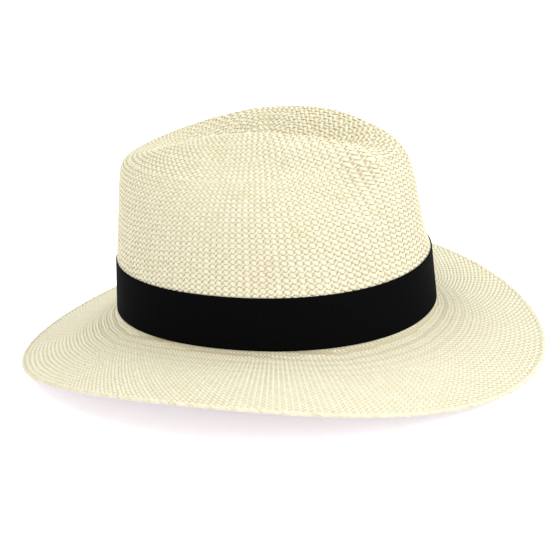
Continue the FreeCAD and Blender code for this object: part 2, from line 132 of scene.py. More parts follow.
def outward(azimuth):
    """Level direction at an azimuth: 0 is the face side, -Y, and a quarter turn is +X."""
    return Vector((math.sin(azimuth), -math.cos(azimuth), 0.0))


def even_azimuths():
    """Azimuths of the meridians, which stand as close together as the strands do."""
    fine = np.linspace(0.0, 2.0 * math.pi, 721)
    start = Vector((CENTRE.x, CENTRE.y, BREAK_Z + 20.0 * MM))
    ring = []
    for azimuth in fine:
        away = outward(azimuth)
        ring.append(straw_tree.ray_cast(start + away * RAY, -away)[0])
    steps = np.array([(q - p).length for p, q in zip(ring, ring[1:])])
    steps *= 1.0 + DENSER_BACK * np.cos(fine[1:] - DENSEST)
    travel = np.concatenate(([0.0], np.cumsum(steps)))
    return np.interp(np.arange(COLUMNS) / COLUMNS * travel[-1], travel, fine)


def travelled(points):
    """Distance along a line of points, at each point."""
    steps = np.linalg.norm(np.diff(points, axis=0), axis=1)
    return np.concatenate(([0.0], np.cumsum(steps)))


def resampled(points, goals):
    """Points at wanted distances along a line of points."""
    travel = travelled(points)
    return np.stack([np.interp(goals, travel, points[:, k]) for k in range(3)], axis=1)


def shoulder_at(points):
    """Distance from the middle of the top to the shoulder, where the wall begins."""
    above = np.nonzero(points[:, 2] > SHOULDER_Z)[0]
    return travelled(points)[above[-1]]


def crown_line(azimuth):
    """Outer face of the crown, from the middle of its top down to the break."""
    away = outward(azimuth)
    line = []
    for k in range(400):
        angle = k * math.radians(0.5)
        direction = away * math.sin(angle) + Vector((0.0, 0.0, math.cos(angle)))
        hit = straw_tree.ray_cast(CENTRE + direction * RAY, -direction)[0]
        if hit is None or hit.z < BREAK_Z + 0.5 * MM:
            break
        line.append(hit)
    return line


def brim_line(azimuth, first):
    """Upper face of the brim, from the crown out to its edge."""
    away = outward(azimuth)
    radius = Vector((first.x, first.y, 0.0)).length
    line = [first]
    step = 0.8 * MM
    while True:
        radius += step
        start = away * radius + Vector((0.0, 0.0, 0.2))
        hit = straw_tree.ray_cast(start, Vector((0.0, 0.0, -1.0)))[0]
        if hit is None and step < 0.02 * MM:
            break
        if hit is None:
            radius -= step
            step /= 4.0
            continue
        line.append(hit)
    return line


def read_surface():
    """Rows of points from the middle of the top over the shoulder and the break to the brim's edge."""
    crowns = []
    brims = []
    for azimuth in even_azimuths():
        crown = crown_line(azimuth)
        brims.append(np.array(brim_line(azimuth, crown[-1])))
        crowns.append(np.array(crown))
    shoulders = np.array([shoulder_at(crown) for crown in crowns])
    for _ in range(60):
        shoulders = (np.roll(shoulders, 1) + 2.0 * shoulders + np.roll(shoulders, -1)) / 4.0
    columns = []
    for crown, brim, shoulder in zip(crowns, brims, shoulders):
        top = np.linspace(0.0, shoulder, TOP_ROWS + 1)
        wall = np.linspace(shoulder, travelled(crown)[-1], WALL_ROWS + 1)
        upper = resampled(crown, np.concatenate((top, wall[1:])))
        lower = resampled(brim, np.linspace(0.0, travelled(brim)[-1], BRIM_ROWS + 1))
        columns.append(np.concatenate((upper, lower[1:])))
    points = np.array(columns)
    points[:, 0] = points[:, 0].mean(axis=0)
    return points


def unit(v):
    """Vectors of length one, along the last axis."""
    return v / np.maximum(np.linalg.norm(v, axis=-1, keepdims=True), 1e-12)


def surface_normals(points):
    """Outward normals of the surface points, smoothed a little."""
    along = np.gradient(points, axis=1)
    across = np.roll(points, -1, axis=0) - np.roll(points, 1, axis=0)
    normal = unit(np.cross(along, across))
    normal[:, 0] = (0.0, 0.0, 1.0)
    smooth = normal
    for _ in range(2):
        smooth = smooth + np.roll(smooth, 1, axis=0) + np.roll(smooth, -1, axis=0)
        smooth[:, 1:-1] = smooth[:, 1:-1] + smooth[:, :-2] + smooth[:, 2:]
        smooth = unit(smooth)
    return smooth


SURFACE = read_surface()
NORMALS = surface_normals(SURFACE)
ROWS = SURFACE.shape[1]
EDGE_ROW = ROWS - 1.0
closed = np.concatenate((SURFACE, SURFACE[:1]))
GIRTH = np.linalg.norm(np.diff(closed, axis=0), axis=2).sum(axis=0)
ROW_STEP = np.linalg.norm(np.diff(SURFACE, axis=1), axis=2).mean(axis=0)
TRAVEL = np.concatenate(([0.0], np.cumsum(ROW_STEP)))      # mean distance from the middle of the top


def on_surface(u, row):
    """Points and normals at shares of a turn u and at rows, both arrays of one shape."""
    column = (u % 1.0) * COLUMNS
    c0 = np.floor(column).astype(int) % COLUMNS
    c1 = (c0 + 1) % COLUMNS
    f = (column - np.floor(column))[..., None]
    row = np.clip(row, 0.0, EDGE_ROW - 1e-6)
    r0 = np.floor(row).astype(int)
    g = (row - r0)[..., None]
    result = []
    for field in (SURFACE, NORMALS):
        near = field[c0, r0] * (1.0 - g) + field[c0, r0 + 1] * g
        far = field[c1, r0] * (1.0 - g) + field[c1, r0 + 1] * g
        result.append(near * (1.0 - f) + far * f)
    return result[0], unit(result[1])


def row_at_height(z):
    """The row of the crown wall whose mean height is z."""
    heights = SURFACE[:, : CROWN_ROWS + 1, 2].mean(axis=0)
    return np.interp(-z, -heights[TOP_ROWS:], np.arange(TOP_ROWS, CROWN_ROWS + 1))


# ---------------------------------------------------------------- meshes
def build(name, points, quads, material, uv=None, atlas=None, tone=None):
    """A smooth mesh piece that rides on the hat. uv and atlas hold one pair for each corner."""
    mesh = bpy.data.meshes.new(name)
    mesh.vertices.add(len(points))
    mesh.vertices.foreach_set("co", np.asarray(points, np.float32).ravel())
    mesh.loops.add(quads.size)
    mesh.loops.foreach_set("vertex_index", quads.astype(np.int32).ravel())
    mesh.polygons.add(len(quads))
    mesh.polygons.foreach_set("loop_start", np.arange(0, quads.size, 4, dtype=np.int32))
    mesh.polygons.foreach_set("use_smooth", np.ones(len(quads), bool))
    mesh.update(calc_edges=True)
    for layer, values in (("Along", uv), ("OFBake", atlas)):
        if values is not None:
            mesh.uv_layers.new(name=layer).data.foreach_set("uv", values.astype(np.float32).ravel())
    if tone is not None:
        field = mesh.attributes.new("tone", "FLOAT", "POINT")
        field.data.foreach_set("value", tone.astype(np.float32).ravel())
    mesh.materials.append(material)
    piece = bpy.data.objects.new(name, mesh)
    bpy.context.scene.collection.objects.link(piece)
    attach(piece, "root")
    return piece


def grid_quads(columns, rows, wrap):
    """Corner numbers of a grid of points stored column by column."""
    c = np.arange(columns if wrap else columns - 1)
    r = np.arange(rows - 1)
    c, r = np.meshgrid(c, r, indexing="ij")
    d = (c + 1) % columns
    corners = (c * rows + r, c * rows + r + 1, d * rows + r + 1, d * rows + r)
    return np.stack(corners, axis=-1).reshape(-1, 4)


# One strand's section: shares of its half width and of its half thickness, left edge first.
SECTION = np.array(((-1.0, -0.1), (-0.6, 0.8), (0.0, 1.0), (0.6, 0.8), (1.0, -0.1), (0.0, -1.0)))


def tubes(centres, sides, normals, half_width, half_height):
    """Strands of one section: centres is strands x samples x 3. Gives points, quads and the atlas."""
    strands, samples = centres.shape[:2]
    ring = len(SECTION)
    across = SECTION[:, 0][None, None, :, None] * half_width[:, :, None, None] * sides[:, :, None, :]
    above = SECTION[:, 1][None, None, :, None] * half_height[:, :, None, None] * normals[:, :, None, :]
    points = (centres[:, :, None, :] + across + above).reshape(-1, 3)
    s, k, j = np.meshgrid(np.arange(strands), np.arange(samples - 1), np.arange(ring), indexing="ij")
    base = (s * samples + k) * ring
    j1 = (j + 1) % ring
    quads = np.stack((base + j, base + j1, base + ring + j1, base + ring + j), axis=-1).reshape(-1, 4)
    left = (s + 0.06 + 0.88 * j / ring) / strands
    right = (s + 0.06 + 0.88 * (j + 1) / ring) / strands
    near = 0.004 + 0.992 * k / (samples - 1)
    far = 0.004 + 0.992 * (k + 1) / (samples - 1)
    corners = ((left, near), (right, near), (right, far), (left, far))
    atlas = np.stack([np.stack(corner, axis=-1) for corner in corners], axis=-2).reshape(-1, 2)
    return points, quads, atlas


def jitter(strands, samples, reach):
    """Smooth random values along each strand, one new value for each crossing."""
    count = samples // (STEPS // 2) + 3
    values = random.uniform(-reach, reach, (strands, count))
    place = np.arange(samples) / (STEPS / 2.0)
    k = place.astype(int)
    f = place - k
    f = f * f * (3.0 - 2.0 * f)
    return values[:, k] * (1.0 - f) + values[:, k + 1] * f


def weave_scale(count, first, last, aspect):
    """Wave count q at each row from first to last, for cells of the wanted shape."""
    rows = np.linspace(first, last, 400)
    girth = np.interp(rows, np.arange(ROWS), GIRTH)
    step = np.interp(rows, np.arange(ROWS - 1) + 0.5, ROW_STEP)
    rate = step / (aspect * girth / count)
    q = np.concatenate(([0.0], np.cumsum((rate[1:] + rate[:-1]) / 2.0 * np.diff(rows))))
    return rows, q


def ring_gap(row):
    """How open the weave is at each row: 1 in the middle of a ring of added strands, 0 away from one."""
    away = (np.interp(row, np.arange(ROWS), TRAVEL) - TRAVEL[CROWN_ROWS]) / RING_SPACING
    nearest = np.round(away)
    inside = (nearest >= 1) & (nearest <= RINGS)
    fade = np.clip(1.15 - nearest / RINGS, 0.0, 1.0)
    return np.exp(-((away - nearest) * RING_SPACING / RING_REACH) ** 2) * inside * fade


def strands(name, family, count, first, last, group, weave):
    """One family of strands in a ring of the weave, between two rows.

    family is +1 for the wide strands, which run down to the right, and -1 for the narrow ones.
    group is the slice of the strands that this piece holds.
    """
    rows, waves = weave_scale(count, first, last, weave.aspect)
    samples = int(waves[-1] * STEPS) + 1
    q = np.linspace(0.0, waves[-1], samples)
    row = np.interp(q, waves, rows)
    index = np.arange(count)[group]
    number = len(index)
    pitch = np.interp(row, np.arange(ROWS), GIRTH) / count
    pitch = pitch * weave.aspect / math.sqrt(1.0 + weave.aspect ** 2)
    share = WIDE if family > 0 else NARROW
    wander = jitter(number, samples, WANDER)
    u = (index[:, None] + family * q[None, :] + wander) / count
    row = np.broadcast_to(row, u.shape)
    base, normal = on_surface(u, row)
    tangent = unit(np.gradient(base, axis=1))
    side = unit(np.cross(normal, tangent))
    cosine = np.cos(2.0 * math.pi * q) * family
    flat = np.tanh(FLATTENED * cosine) / math.tanh(FLATTENED)      # 1 over the other family, -1 under it
    swell = 1.0 + jitter(number, samples, UNEVEN_WAVE)
    height = weave.wave * flat[None, :] * swell
    ends = np.minimum(q, waves[-1] - q)
    tuck = np.clip(1.0 - ends / TUCK_WAVES, 0.0, 1.0)
    height = height - TUCK * tuck[None, :] - STRAW / 2.0
    centre = base + normal * height[..., None]
    width = pitch[None, :] * share * (1.0 + jitter(number, samples, UNEVEN_WIDTH))
    width = width * (0.90 + 0.10 * flat[None, :]) * (1.0 - 0.85 * ring_gap(row))
    thick = np.full(width.shape, STRAND) * np.clip(pitch / FULL_PITCH, 0.5, 1.0)[None, :]
    points, quads, atlas = tubes(centre, side, normal, width, thick)
    # Each strand has a tone of its own, which also drifts along it.
    own = weave.spread * (random.normal(0.0, 0.14, (number, 1)) + jitter(number, samples, 0.30))
    tone = np.repeat(np.clip(weave.pale + own, 0.0, 1.0)[..., None], len(SECTION), axis=2)
    along = np.stack((atlas[:, 0] * number, atlas[:, 1] * waves[-1]), axis=1)
    return build(name, points, quads, straw_material, along, atlas, tone)


# ---------------------------------------------------------------- materials
def principled(name, colour, roughness):
    """A new material, its node tree and its shader."""
    material = bpy.data.materials.new(name)
    material.use_nodes = True
    shader = material.node_tree.nodes["Principled BSDF"]
    shader.inputs["Base Color"].default_value = (*colour, 1.0)
    shader.inputs["Roughness"].default_value = roughness
    return material, material.node_tree, shader


def add_node(tree, kind, **inputs):
    """A node with these values at the inputs of these names."""
    made = tree.nodes.new(kind)
    for key, value in inputs.items():
        made.inputs[key.replace("_", " ")].default_value = value
    return made


def mix_colour(tree, factor, a, b, blend="MIX"):
    """A mix of two colours. The factor and the colours are values or sockets."""
    made = tree.nodes.new("ShaderNodeMix")
    made.data_type = "RGBA"
    made.blend_type = blend
    for place, value in ((0, factor), (6, a), (7, b)):
        if isinstance(value, bpy.types.NodeSocket):
            tree.links.new(value, made.inputs[place])
        elif place == 0:
            made.inputs[0].default_value = value
        else:
            made.inputs[place].default_value = (*value, 1.0)
    return made.outputs[2]


def along_uv(tree):
    """The coordinates that a strand carries in strands and waves, and a strip of cloth in millimetres."""
    uv = tree.nodes.new("ShaderNodeUVMap")
    uv.uv_map = "Along"
    return uv.outputs["UV"]


def make_straw_material():
    """Paper straw: a tone for each strand and fine fibres along it."""
    material, tree, shader = principled("straw", (0.61, 0.575, 0.42), 0.62)
    tone = tree.nodes.new("ShaderNodeAttribute")
    tone.attribute_name = "tone"
    ramp = tree.nodes.new("ShaderNodeValToRGB")
    ramp.color_ramp.elements[0].color = (0.525, 0.450, 0.300, 1.0)
    ramp.color_ramp.elements[1].color = (0.625, 0.605, 0.485, 1.0)
    middle = ramp.color_ramp.elements.new(0.4)
    middle.color = (0.572, 0.540, 0.388, 1.0)
    tree.links.new(tone.outputs["Fac"], ramp.inputs["Fac"])
    stretch = tree.nodes.new("ShaderNodeMapping")
    stretch.inputs["Scale"].default_value = (9.0, 0.7, 1.0)
    tree.links.new(along_uv(tree), stretch.inputs["Vector"])
    fibre = add_node(tree, "ShaderNodeTexNoise", Scale=1.0, Detail=2.0)
    tree.links.new(stretch.outputs["Vector"], fibre.inputs["Vector"])
    streaked = mix_colour(tree, fibre.outputs["Fac"], (0.94, 0.92, 0.88), (1.0, 1.0, 1.0))
    colour = mix_colour(tree, 1.0, ramp.outputs["Color"], streaked, "MULTIPLY")
    tree.links.new(colour, shader.inputs["Base Color"])
    shader.inputs["Specular IOR Level"].default_value = 0.35
    return material


def make_painted_shade_material():
    """Painted shade: a dark straw colour for the skin seen through the gaps of the weave, standing in for
    the shade in them.
    """
    material, tree, shader = principled("painted_shade_core", (0.42, 0.36, 0.24), 0.9)
    speckle = add_node(tree, "ShaderNodeTexNoise", Scale=900.0, Detail=2.0)
    colour = mix_colour(tree, speckle.outputs["Fac"], (0.36, 0.30, 0.19), (0.48, 0.42, 0.28))
    tree.links.new(colour, shader.inputs["Base Color"])
    shader.inputs["Specular IOR Level"].default_value = 0.1
    return material


def make_grosgrain_material():
    """Black ribbon with a dull face, a little uneven from thread to thread."""
    material, tree, shader = principled("grosgrain", (0.0025, 0.0025, 0.0026), 0.5)
    thread = add_node(tree, "ShaderNodeTexNoise", Scale=2.0, Detail=3.0)
    tree.links.new(along_uv(tree), thread.inputs["Vector"])
    colour = mix_colour(tree, thread.outputs["Fac"], (0.0018, 0.0018, 0.0019), (0.0032, 0.0033, 0.0034))
    tree.links.new(colour, shader.inputs["Base Color"])
    shader.inputs["Specular IOR Level"].default_value = 0.003
    return material


def bumped(tree, shader, height, distance, strength):
    """Lets a height between 0 and 1 raise the shader's surface by a distance."""
    bump = add_node(tree, "ShaderNodeBump", Strength=strength, Distance=distance)
    tree.links.new(height, bump.inputs["Height"])
    tree.links.new(bump.outputs["Normal"], shader.inputs["Normal"])


def make_leather_material():
    """Brown leather with small cells, pores and slow changes of colour."""
    material, tree, shader = principled("sweatband_leather", (0.23, 0.12, 0.055), 0.5)
    place = along_uv(tree)
    cells = add_node(tree, "ShaderNodeTexVoronoi", Scale=1.3)
    cells.feature = "DISTANCE_TO_EDGE"
    pores = add_node(tree, "ShaderNodeTexNoise", Scale=3.5, Detail=4.0)
    patches = add_node(tree, "ShaderNodeTexNoise", Scale=0.06, Detail=3.0)
    for texture in (cells, pores, patches):
        tree.links.new(place, texture.inputs["Vector"])
    colour = mix_colour(tree, patches.outputs["Fac"], (0.18, 0.09, 0.040), (0.29, 0.155, 0.072))
    creased = mix_colour(tree, pores.outputs["Fac"], (0.86, 0.84, 0.82), (1.0, 1.0, 1.0))
    colour = mix_colour(tree, 1.0, colour, creased, "MULTIPLY")
    tree.links.new(colour, shader.inputs["Base Color"])
    rough = add_node(tree, "ShaderNodeMapRange")
    rough.inputs["To Min"].default_value = 0.40
    rough.inputs["To Max"].default_value = 0.62
    tree.links.new(pores.outputs["Fac"], rough.inputs["Value"])
    tree.links.new(rough.outputs["Result"], shader.inputs["Roughness"])
    height = tree.nodes.new("ShaderNodeMath")
    height.operation = "MULTIPLY_ADD"
    height.inputs[1].default_value = 1.5
    tree.links.new(cells.outputs["Distance"], height.inputs[0])
    tree.links.new(pores.outputs["Fac"], height.inputs[2])
    bumped(tree, shader, height.outputs["Value"], 0.12 * MM, 0.7)
    return material


def make_woven_material(name, dark, light, roughness, threads):
    """Plain cloth whose two sets of threads stand this many to the millimetre, darker where its weave
    lies low as painted shade between the threads.
    """
    material, tree, shader = principled(name, light, roughness)
    place = along_uv(tree)
    split = tree.nodes.new("ShaderNodeSeparateXYZ")
    tree.links.new(place, split.inputs["Vector"])
    waves = []
    for axis in ("X", "Y"):
        turn = tree.nodes.new("ShaderNodeMath")
        turn.operation = "MULTIPLY"
        turn.inputs[1].default_value = 2.0 * math.pi * threads
        tree.links.new(split.outputs[axis], turn.inputs[0])
        wave = tree.nodes.new("ShaderNodeMath")
        wave.operation = "SINE"
        tree.links.new(turn.outputs["Value"], wave.inputs[0])
        waves.append(wave)
    weave = tree.nodes.new("ShaderNodeMath")
    weave.operation = "MULTIPLY"
    tree.links.new(waves[0].outputs["Value"], weave.inputs[0])
    tree.links.new(waves[1].outputs["Value"], weave.inputs[1])
    lift = add_node(tree, "ShaderNodeMapRange")
    lift.inputs["From Min"].default_value = -1.0
    tree.links.new(weave.outputs["Value"], lift.inputs["Value"])
    slub = add_node(tree, "ShaderNodeTexNoise", Scale=0.8, Detail=3.0)
    tree.links.new(place, slub.inputs["Vector"])
    # Painted shade: the cloth's colour is darker where its weave lies low, between the threads.
    colour = mix_colour(tree, lift.outputs["Result"], dark, light)
    uneven = mix_colour(tree, slub.outputs["Fac"], (0.90, 0.90, 0.90), (1.0, 1.0, 1.0))
    colour = mix_colour(tree, 1.0, colour, uneven, "MULTIPLY")
    tree.links.new(colour, shader.inputs["Base Color"])
    bumped(tree, shader, lift.outputs["Result"], 0.06 * MM, 0.6)
    return material


def make_fine_material(name, dark, light, roughness, scale, shine=0.3):
    """Thread or plastic: a fine uneven tint over the solid."""
    material, tree, shader = principled(name, light, roughness)
    shader.inputs["Specular IOR Level"].default_value = shine
    place = tree.nodes.new("ShaderNodeTexCoord")
    fibre = add_node(tree, "ShaderNodeTexNoise", Scale=scale, Detail=3.0)
    tree.links.new(place.outputs["Object"], fibre.inputs["Vector"])
    colour = mix_colour(tree, fibre.outputs["Fac"], dark, light)
    tree.links.new(colour, shader.inputs["Base Color"])
    bumped(tree, shader, fibre.outputs["Fac"], 0.05 * MM, 0.5)
    return material


straw_material = make_straw_material()
painted_shade_material = make_painted_shade_material()
grosgrain_material = make_grosgrain_material()
leather_material = make_leather_material()
tape_material = make_woven_material("reed_tape", (0.50, 0.47, 0.40), (0.72, 0.70, 0.63), 0.85, 1.6)
label_material = make_woven_material("label_cloth", (0.66, 0.66, 0.64), (0.80, 0.80, 0.78), 0.55, 3.0)
satin_material = make_woven_material(
    "narrow_ribbon", (0.010, 0.010, 0.011), (0.022, 0.022, 0.024), 0.4, 3.0)
thread_material = make_fine_material("straw_thread", (0.55, 0.50, 0.38), (0.76, 0.72, 0.60), 0.7, 3000.0)
dark_thread_material = make_fine_material(
    "dark_thread", (0.002, 0.002, 0.002), (0.006, 0.006, 0.006), 0.7, 3000.0, 0.01)
reed_material = make_fine_material("reed_plastic", (0.60, 0.60, 0.58), (0.74, 0.74, 0.72), 0.35, 400.0)


# ---------------------------------------------------------------- straw
def shares(name, family, count, first, last, parts, weave):
    """One family of a ring, cut into pieces of about the same size."""
    made = []
    for k in range(parts):
        group = slice(count * k // parts, count * (k + 1) // parts)
        made.append(strands(f"{name}_{k + 1}", family, count, first, last, group, weave))
    return made


def woven_straw():
    """The crown and brim as two families of interlaced strands, with more strands in wider rings."""
    made = []
    brim_start = row_at_height(BREAK_Z + BRIM_BEGIN)
    radius = GIRTH / (2.0 * math.pi)
    counts = [CROWN_STRANDS]
    while counts[-1] > FEWEST:
        counts.append(int(round(counts[-1] / FEWER)))
    bottom = row_at_height(BREAK_Z + CROWN_END)
    for k, count in enumerate(counts):
        limit = SMALLEST_CELL * count / (2.0 * math.pi)
        top = np.interp(limit, radius[:TOP_ROWS], np.arange(TOP_ROWS))
        if k == len(counts) - 1:
            top = 1.0
        parts = 2 if k == 0 else 1
        for family, letter in ((1, "wide"), (-1, "narrow")):
            made += shares(f"straw_crown_{letter}_{k + 1}", family, count, top, bottom, parts, CROWN)
        bottom = top + ZONE_GAP / ROW_STEP[int(top)]
    edge = EDGE_ROW - BRIM_MARGIN / ROW_STEP[-1]
    for family, letter in ((1, "wide"), (-1, "narrow")):
        made += shares(f"straw_brim_{letter}", family, BRIM_STRANDS, brim_start, edge, 4, BRIM)
    return made


def painted_shade_core():
    """A thin skin in the middle of the weave, seen only through the gaps between strands; its dark colour
    is painted shade.
    """
    columns = COLUMNS // 2
    rows = np.linspace(0.0, EDGE_ROW - 1.0, 200)
    u, row = np.meshgrid(np.arange(columns) / columns, rows, indexing="ij")
    points, normals = on_surface(u, row)
    points = points - normals * (STRAW / 2.0)
    quads = grid_quads(columns, len(rows), True)
    # This skin's dark colour is painted shade for the gaps of the weave.
    return build("painted_shade_core", points.reshape(-1, 3), quads, painted_shade_material)


def edge_braid():
    """The woven-back edge: short strands that slant over the rim from the top to the underside."""
    pitch = 4.6 * MM           # two strands begin in each of these
    slant = 8.0 * MM           # how far round the rim a strand leans
    roll = 0.50 * MM           # radius of the turn over the rim
    inboard = 2.8 * MM         # from the rim to a strand's ends
    half_width = 0.82 * MM
    half_thickness = 0.24 * MM
    lift = 0.22 * MM           # how far a strand rises where it passes over its neighbours
    bulge = 0.30 * MM          # and how far it bulges out at the rim
    sink = 0.45 * MM           # how deep its ends dive
    count = 2 * int(GIRTH[-1] / pitch)
    samples = 15
    t = np.linspace(0.0, 1.0, samples)      # share of a strand's length
    index = np.arange(count)
    straight = inboard - roll
    arc = math.pi * roll
    travel = t * (2.0 * straight + arc)
    # A strand's path in section: out over the top, round the rim and back under the brim.
    out = np.where(travel < straight, roll - inboard + travel, 0.0)
    turn = np.clip((travel - straight) / roll, 0.0, math.pi)
    out = np.where(travel >= straight, roll * np.sin(turn), out)
    out = np.where(travel > straight + arc, -(travel - straight - arc), out)
    up = roll * np.cos(turn)
    over = 0.5 + 0.5 * np.cos(2.0 * math.pi * (t * 2.0 + 0.5 * (index[:, None] % 2)))
    u = index[:, None] / count + (t - 0.3)[None, :] * slant / GIRTH[-1]
    rim, normal = on_surface(u, np.full(u.shape, EDGE_ROW))
    inner, _ = on_surface(u, np.full(u.shape, EDGE_ROW - 3.0))
    away = unit(rim - inner)
    to_end = np.minimum(t, 1.0 - t)
    sunk = sink * (1.0 - np.clip(to_end / 0.3, 0.0, 1.0))
    up = up[None, :] + (lift * over - sunk[None, :]) * np.sign(up)[None, :]
    out = out[None, :] + bulge * over * np.sin(turn)[None, :]
    rim = rim - away * roll - normal * STRAW / 2.0
    centre = rim + away * out[..., None] + normal * up[..., None]
    face = unit(normal * np.cos(turn)[None, :, None] + away * np.sin(turn)[None, :, None])
    tangent = unit(np.gradient(centre, axis=1))
    side = unit(np.cross(face, tangent))
    face = unit(np.cross(tangent, side))
    taper = np.clip(to_end / 0.12, 0.35, 1.0)
    width = half_width * taper[None, :] * (1.0 + jitter(count, samples, 0.10))
    thick = np.full(width.shape, half_thickness)
    points, quads, atlas = tubes(centre, side, face, width, thick)
    own = random.normal(0.0, 0.2, (count, 1)) + jitter(count, samples, 0.2)
    tone = np.repeat(np.clip(0.62 + own, 0.0, 1.0)[..., None], len(SECTION), axis=2)
    along = np.stack((atlas[:, 0] * count, atlas[:, 1] * 4.0), axis=1)
    return build("straw_edge_braid", points, quads, straw_material, along, atlas, tone)


straw_pieces = woven_straw()
painted_shade_core()
edge_braid()
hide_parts("straw_body")


# ---------------------------------------------------------------- ribbon
def flat_strip(name, points, normals, thickness, arc, height, material):
    """A strip of cloth from a grid of outer points: outer face, inner face, edges and ends."""
    columns, rows = points.shape[:2]
    inner = points - normals * thickness
    both = np.concatenate((points, inner[:, ::-1]), axis=1).reshape(-1, 3)
    ring = 2 * rows            # points round the strip's section
    c, r = np.meshgrid(np.arange(columns - 1), np.arange(ring), indexing="ij")
    r1 = (r + 1) % ring
    quads = np.stack((c * ring + r, (c + 1) * ring + r, (c + 1) * ring + r1, c * ring + r1), axis=-1)
    quads = quads.reshape(-1, 4)
    r = np.arange(rows - 1)
    start_cap = np.stack((r, r + 1, ring - 2 - r, ring - 1 - r), axis=-1)
    end_cap = (columns - 1) * ring + start_cap[:, ::-1]
    quads = np.concatenate((quads, start_cap, end_cap))
    u = np.concatenate((arc, arc[:, ::-1]), axis=1).ravel() / MM
    v = np.concatenate((height, height[:, ::-1]), axis=1).ravel() / MM
    uv = np.stack((u, v), axis=-1)[quads.ravel()]
    return build(name, both, quads, material, uv)


def rib_wave(arc, height, width):
    """Height of the ribs, fading out in a plain selvedge along both edges."""
    phase = 2.0 * math.pi * (arc - RIB_LEAN * height) / RIB
    edge = np.minimum(height, width - height)
    fade = np.clip((edge - SELVEDGE) / (0.5 * MM), 0.0, 1.0)
    return RIB_HEIGHT * np.cos(phase) * fade


def face_hit(tree, azimuth, z, outside):
    """Where a level ray meets an upright strip, from outside the hat or from its middle."""
    away = outward(azimuth)
    level = Vector((0.0, 0.0, z))
    if outside:
        return tree.ray_cast(level + away * RAY, -away, RAY)[0]
    return tree.ray_cast(level, away, RAY)[0]


def edge_lines(node, azimuths, outside):
    """Lower and upper edge of one face of an upright CAD strip, at azimuths."""
    tree = tree_of(node)
    low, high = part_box(node)
    middle = (low[2] + high[2]) / 2.0
    lines = []
    for far in (low[2] - MM, high[2] + MM):
        short = math.copysign(RIM, middle - far)
        line = []
        for azimuth in azimuths:
            within, past = middle, far
            for _ in range(12):
                z = (within + past) / 2.0
                if face_hit(tree, azimuth, z, outside) is None:
                    past = z
                else:
                    within = z
            line.append(face_hit(tree, azimuth, within + short, outside))
        lines.append(np.array(line))
    return lines


def facing(points):
    """Normals of a grid of points whose rows run upward and whose columns run along the strip."""
    return unit(np.cross(np.gradient(points, axis=0), np.gradient(points, axis=1)))


def covers(tree, azimuth, low, high, share, outside):
    """Whether a strip's face is there over this share of the height of its box."""
    middle = (low[2] + high[2]) / 2.0
    reach = share * (high[2] - low[2]) / 2.0
    heights = middle + np.linspace(-1.0, 1.0, 15) * reach
    return all(face_hit(tree, azimuth, z, outside) for z in heights)


def whole_turn(node, seam, count, outside):
    """Azimuths once round the hat, from one side of a strip's seam to the other."""
    tree = tree_of(node)
    low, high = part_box(node)
    steps = np.linspace(0.0, WIDEST_SEAM, 121)
    starts = [seam + k for k in steps if covers(tree, seam + k, low, high, 0.8, outside)]
    ends = [seam - k for k in steps if covers(tree, seam - k, low, high, 0.8, outside)]
    return np.linspace(starts[0] + SEAM, ends[0] - SEAM + 2.0 * math.pi, count)


def azimuths_of(node, count, outside):
    """Azimuths from one end of a short upright CAD strip to the other."""
    low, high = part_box(node)
    centre = math.atan2(low[0] + high[0], -low[1] - high[1])
    tree = tree_of(node)
    fine = centre + np.linspace(-0.6, 0.6, 1201)
    good = [azimuth for azimuth in fine if covers(tree, azimuth, low, high, 0.94, outside)]
    return np.linspace(good[0], good[-1], count)


def laid_strip(name, node, azimuths, outside, rows, thickness, material, relief):
    """A strip of cloth or leather laid on the face of its CAD solid, and its flat size."""
    bottom, top = edge_lines(node, azimuths, outside)
    k = np.linspace(0.0, 1.0, rows)
    points = bottom[:, None, :] * (1.0 - k)[None, :, None] + top[:, None, :] * k[None, :, None]
    normal = facing(points)
    width = float(np.linalg.norm(top - bottom, axis=1).mean())
    arc, height = np.meshgrid(travelled(bottom), k * width, indexing="ij")
    points = points + normal * relief(arc, height, width)[..., None]
    piece = flat_strip(name, points, normal, thickness, arc, height, material)
    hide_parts(node)
    return piece, (width, float(arc[-1, 0]))


# The band's two edges, once round the hat, measure places for all that lies on it or under it.
BAND_AZIMUTHS = whole_turn("hatband_ribbon", BOW, 720, OUTSIDE)
BAND_LOW, BAND_HIGH = [
    np.concatenate((line, line[:1])) for line in edge_lines("hatband_ribbon", BAND_AZIMUTHS, OUTSIDE)]
BAND_ARC = travelled(BAND_LOW)
AROUND = BAND_ARC[-1]          # length of the band
BAND_ARC = BAND_ARC + (BAND_ARC[-1] - BAND_ARC[-2]) / 2.0      # counted from the middle of the seam
BAND_WIDTH = float(np.linalg.norm(BAND_HIGH - BAND_LOW, axis=1).mean())


def by_band(s, height, offset):
    """Points s along the band from the bow, at a height up it and at an offset out from its face."""
    outs = unit(np.cross(np.gradient(BAND_LOW, axis=0), BAND_HIGH - BAND_LOW))
    low, high, out = [
        np.stack([np.interp(s, BAND_ARC, line[:, k], period=AROUND) for k in range(3)], axis=-1)
        for line in (BAND_LOW, BAND_HIGH, outs)]
    share = (height / BAND_WIDTH)[..., None]
    return low * (1.0 - share) + high * share + unit(out) * offset[..., None]


def hatband():
    """The grosgrain band round the crown. Its ends meet under the bow."""
    azimuths = whole_turn("hatband_ribbon", BOW, 1500, OUTSIDE)
    piece, flat = laid_strip(
        "hatband", "hatband_ribbon", azimuths, OUTSIDE, 27, RIBBON,
        grosgrain_material, rib_wave)


def bow_tail():
    """The end of the ribbon that reaches out from under the bow."""
    azimuths = azimuths_of("bow_tail", 150, OUTSIDE)
    piece, flat = laid_strip(
        "tail", "bow_tail", azimuths, OUTSIDE, 27, RIBBON,
        grosgrain_material, rib_wave)


def ease(x):
    """A smooth step from 0 to 1."""
    x = np.clip(x, 0.0, 1.0)
    return x * x * (3.0 - 2.0 * x)


Bow = namedtuple("Bow", "middle height base side reach width puff thickness")


